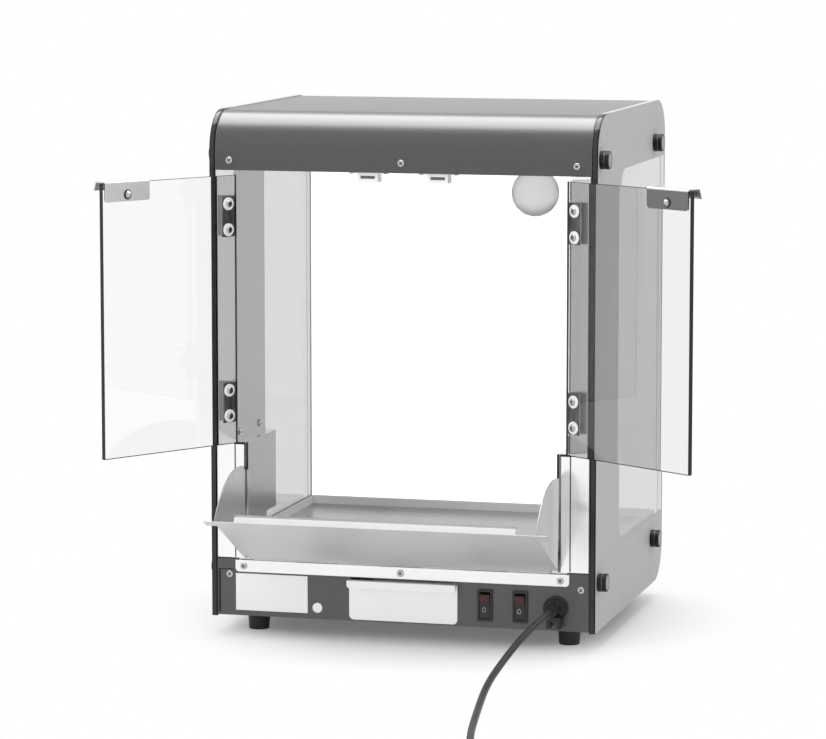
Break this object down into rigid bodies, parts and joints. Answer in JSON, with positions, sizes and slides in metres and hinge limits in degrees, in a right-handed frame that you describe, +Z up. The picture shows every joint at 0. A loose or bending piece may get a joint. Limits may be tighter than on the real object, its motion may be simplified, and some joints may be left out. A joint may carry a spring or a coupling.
{
  "type": "countertop chip warmer",
  "caption": "Glass-sided countertop chip warmer with two hinged front doors, a tipping scoop flap, a heated tray, a crumb drawer, rocker switches and a mains lead.",
  "frame": {"origin": "middle of the box round the warmer as it stands, doors and flap open, at the height of the feet's undersides, leaving out the mains lead", "axes": "+X to the right seen from the serving side, +Y into the cabinet, +Z up"},
  "size_m": [0.5938, 1.0102, 0.536],
  "materials": {
    "clear_glass": "clear 6 mm toughened glass with polished dark edges",
    "window_film": "grey frosted lining film behind the side glass",
    "dark_paint": "dark anthracite satin powder coat",
    "bright_steel": "bright stainless sheet",
    "satin_steel": "satin stainless sheet",
    "polished_screws": "polished",
    "black_rubber": "matt",
    "black_plastic": "satin",
    "white_plastic": "gloss",
    "rocker_black": "gloss",
    "lamp_glass": "clear lamp glass, unlit",
    "heater": "mill finish",
    "silicone": "matt",
    "ceramic": "matt",
    "plate_print": "blank satin plate"
  },
  "bodies": {
    "cabinet": {"left_side_glass": "clear_glass", "right_side_glass": "clear_glass", "left_side_lining": "window_film", "right_side_lining": "window_film", "rear_glass": "clear_glass", "hood": "dark_paint", "hood_ceiling": "satin_steel", "hood_screws": "polished_screws", "lamp_bulb": "lamp_glass", "lamp_holder": "ceramic", "catch_housings": "white_plastic", "catch_poles": "satin_steel", "left_pillar": "bright_steel", "right_pillar": "bright_steel", "left_guide_box": "satin_steel", "right_guide_box": "satin_steel", "guide_screws": "polished_screws", "base_housing": "dark_paint", "base_screws": "polished_screws", "deck": "satin_steel", "heat_plate": "heater", "heating_mat": "silicone", "thermostat": "heater", "terminal_block": "white_plastic", "warming_tray": "bright_steel", "tray_screws": "polished_screws", "front_strip": "bright_steel", "strip_screws": "polished_screws", "flap_hinge_leaf": "bright_steel", "flap_hinge_pin": "polished_screws", "pillar_hinge_leaves": "polished_screws", "hinge_pins": "polished_screws", "pillar_hinge_screws": "polished_screws", "left_cap_nuts": "black_plastic", "right_knobs": "black_rubber", "knob_caps": "satin_steel", "knob_studs": "satin_steel", "feet": "black_rubber", "switch_housings": "black_plastic", "drawer_runners": "satin_steel", "rating_plate": "plate_print", "cable_gland": "black_plastic", "cord_lead": "black_rubber", "cord_coil": "black_rubber", "plug_body": "black_plastic", "plug_pins": "polished_screws"},
    "left_door": {"left_door_glass": "clear_glass", "left_door_leaves": "polished_screws", "left_hinge_washers": "white_plastic", "left_door_screws": "polished_screws", "left_handle": "polished_screws"},
    "right_door": {"right_door_glass": "clear_glass", "right_door_leaves": "polished_screws", "right_hinge_washers": "white_plastic", "right_door_screws": "polished_screws", "right_handle": "polished_screws"},
    "flap": {"scoop_flap": "satin_steel"},
    "drawer": {"crumb_drawer": "bright_steel"},
    "left_switch": {"left_rocker": "rocker_black"},
    "right_switch": {"right_rocker": "rocker_black"}
  },
  "joints": [
    {"name": "left_door_hinge", "type": "hinge", "parent": "cabinet", "child": "left_door", "pos_m": [-0.19792, -0.09784, 0.336], "axis": [0, 0, 1], "range_deg": [-54, 122]},
    {"name": "right_door_hinge", "type": "hinge", "parent": "cabinet", "child": "right_door", "pos_m": [0.15048, -0.09784, 0.336], "axis": [0, 0, 1], "range_deg": [-145.5, 30.5]},
    {"name": "flap_hinge", "type": "hinge", "parent": "cabinet", "child": "flap", "pos_m": [-0.02372, -0.09644, 0.0809], "axis": [-1, 0, 0], "range_deg": [0, 62.4]},
    {"name": "drawer_slide", "type": "slide", "parent": "cabinet", "child": "drawer", "axis": [0, -1, 0], "range_m": [0, 0.14]},
    {"name": "left_switch_rocker", "type": "hinge", "parent": "cabinet", "child": "left_switch", "pos_m": [0.06368, -0.09244, 0.0443], "axis": [-1, 0, 0], "range_deg": [0, 14]},
    {"name": "right_switch_rocker", "type": "hinge", "parent": "cabinet", "child": "right_switch", "pos_m": [0.09988, -0.09244, 0.0443], "axis": [-1, 0, 0], "range_deg": [0, 14]}
  ]
}
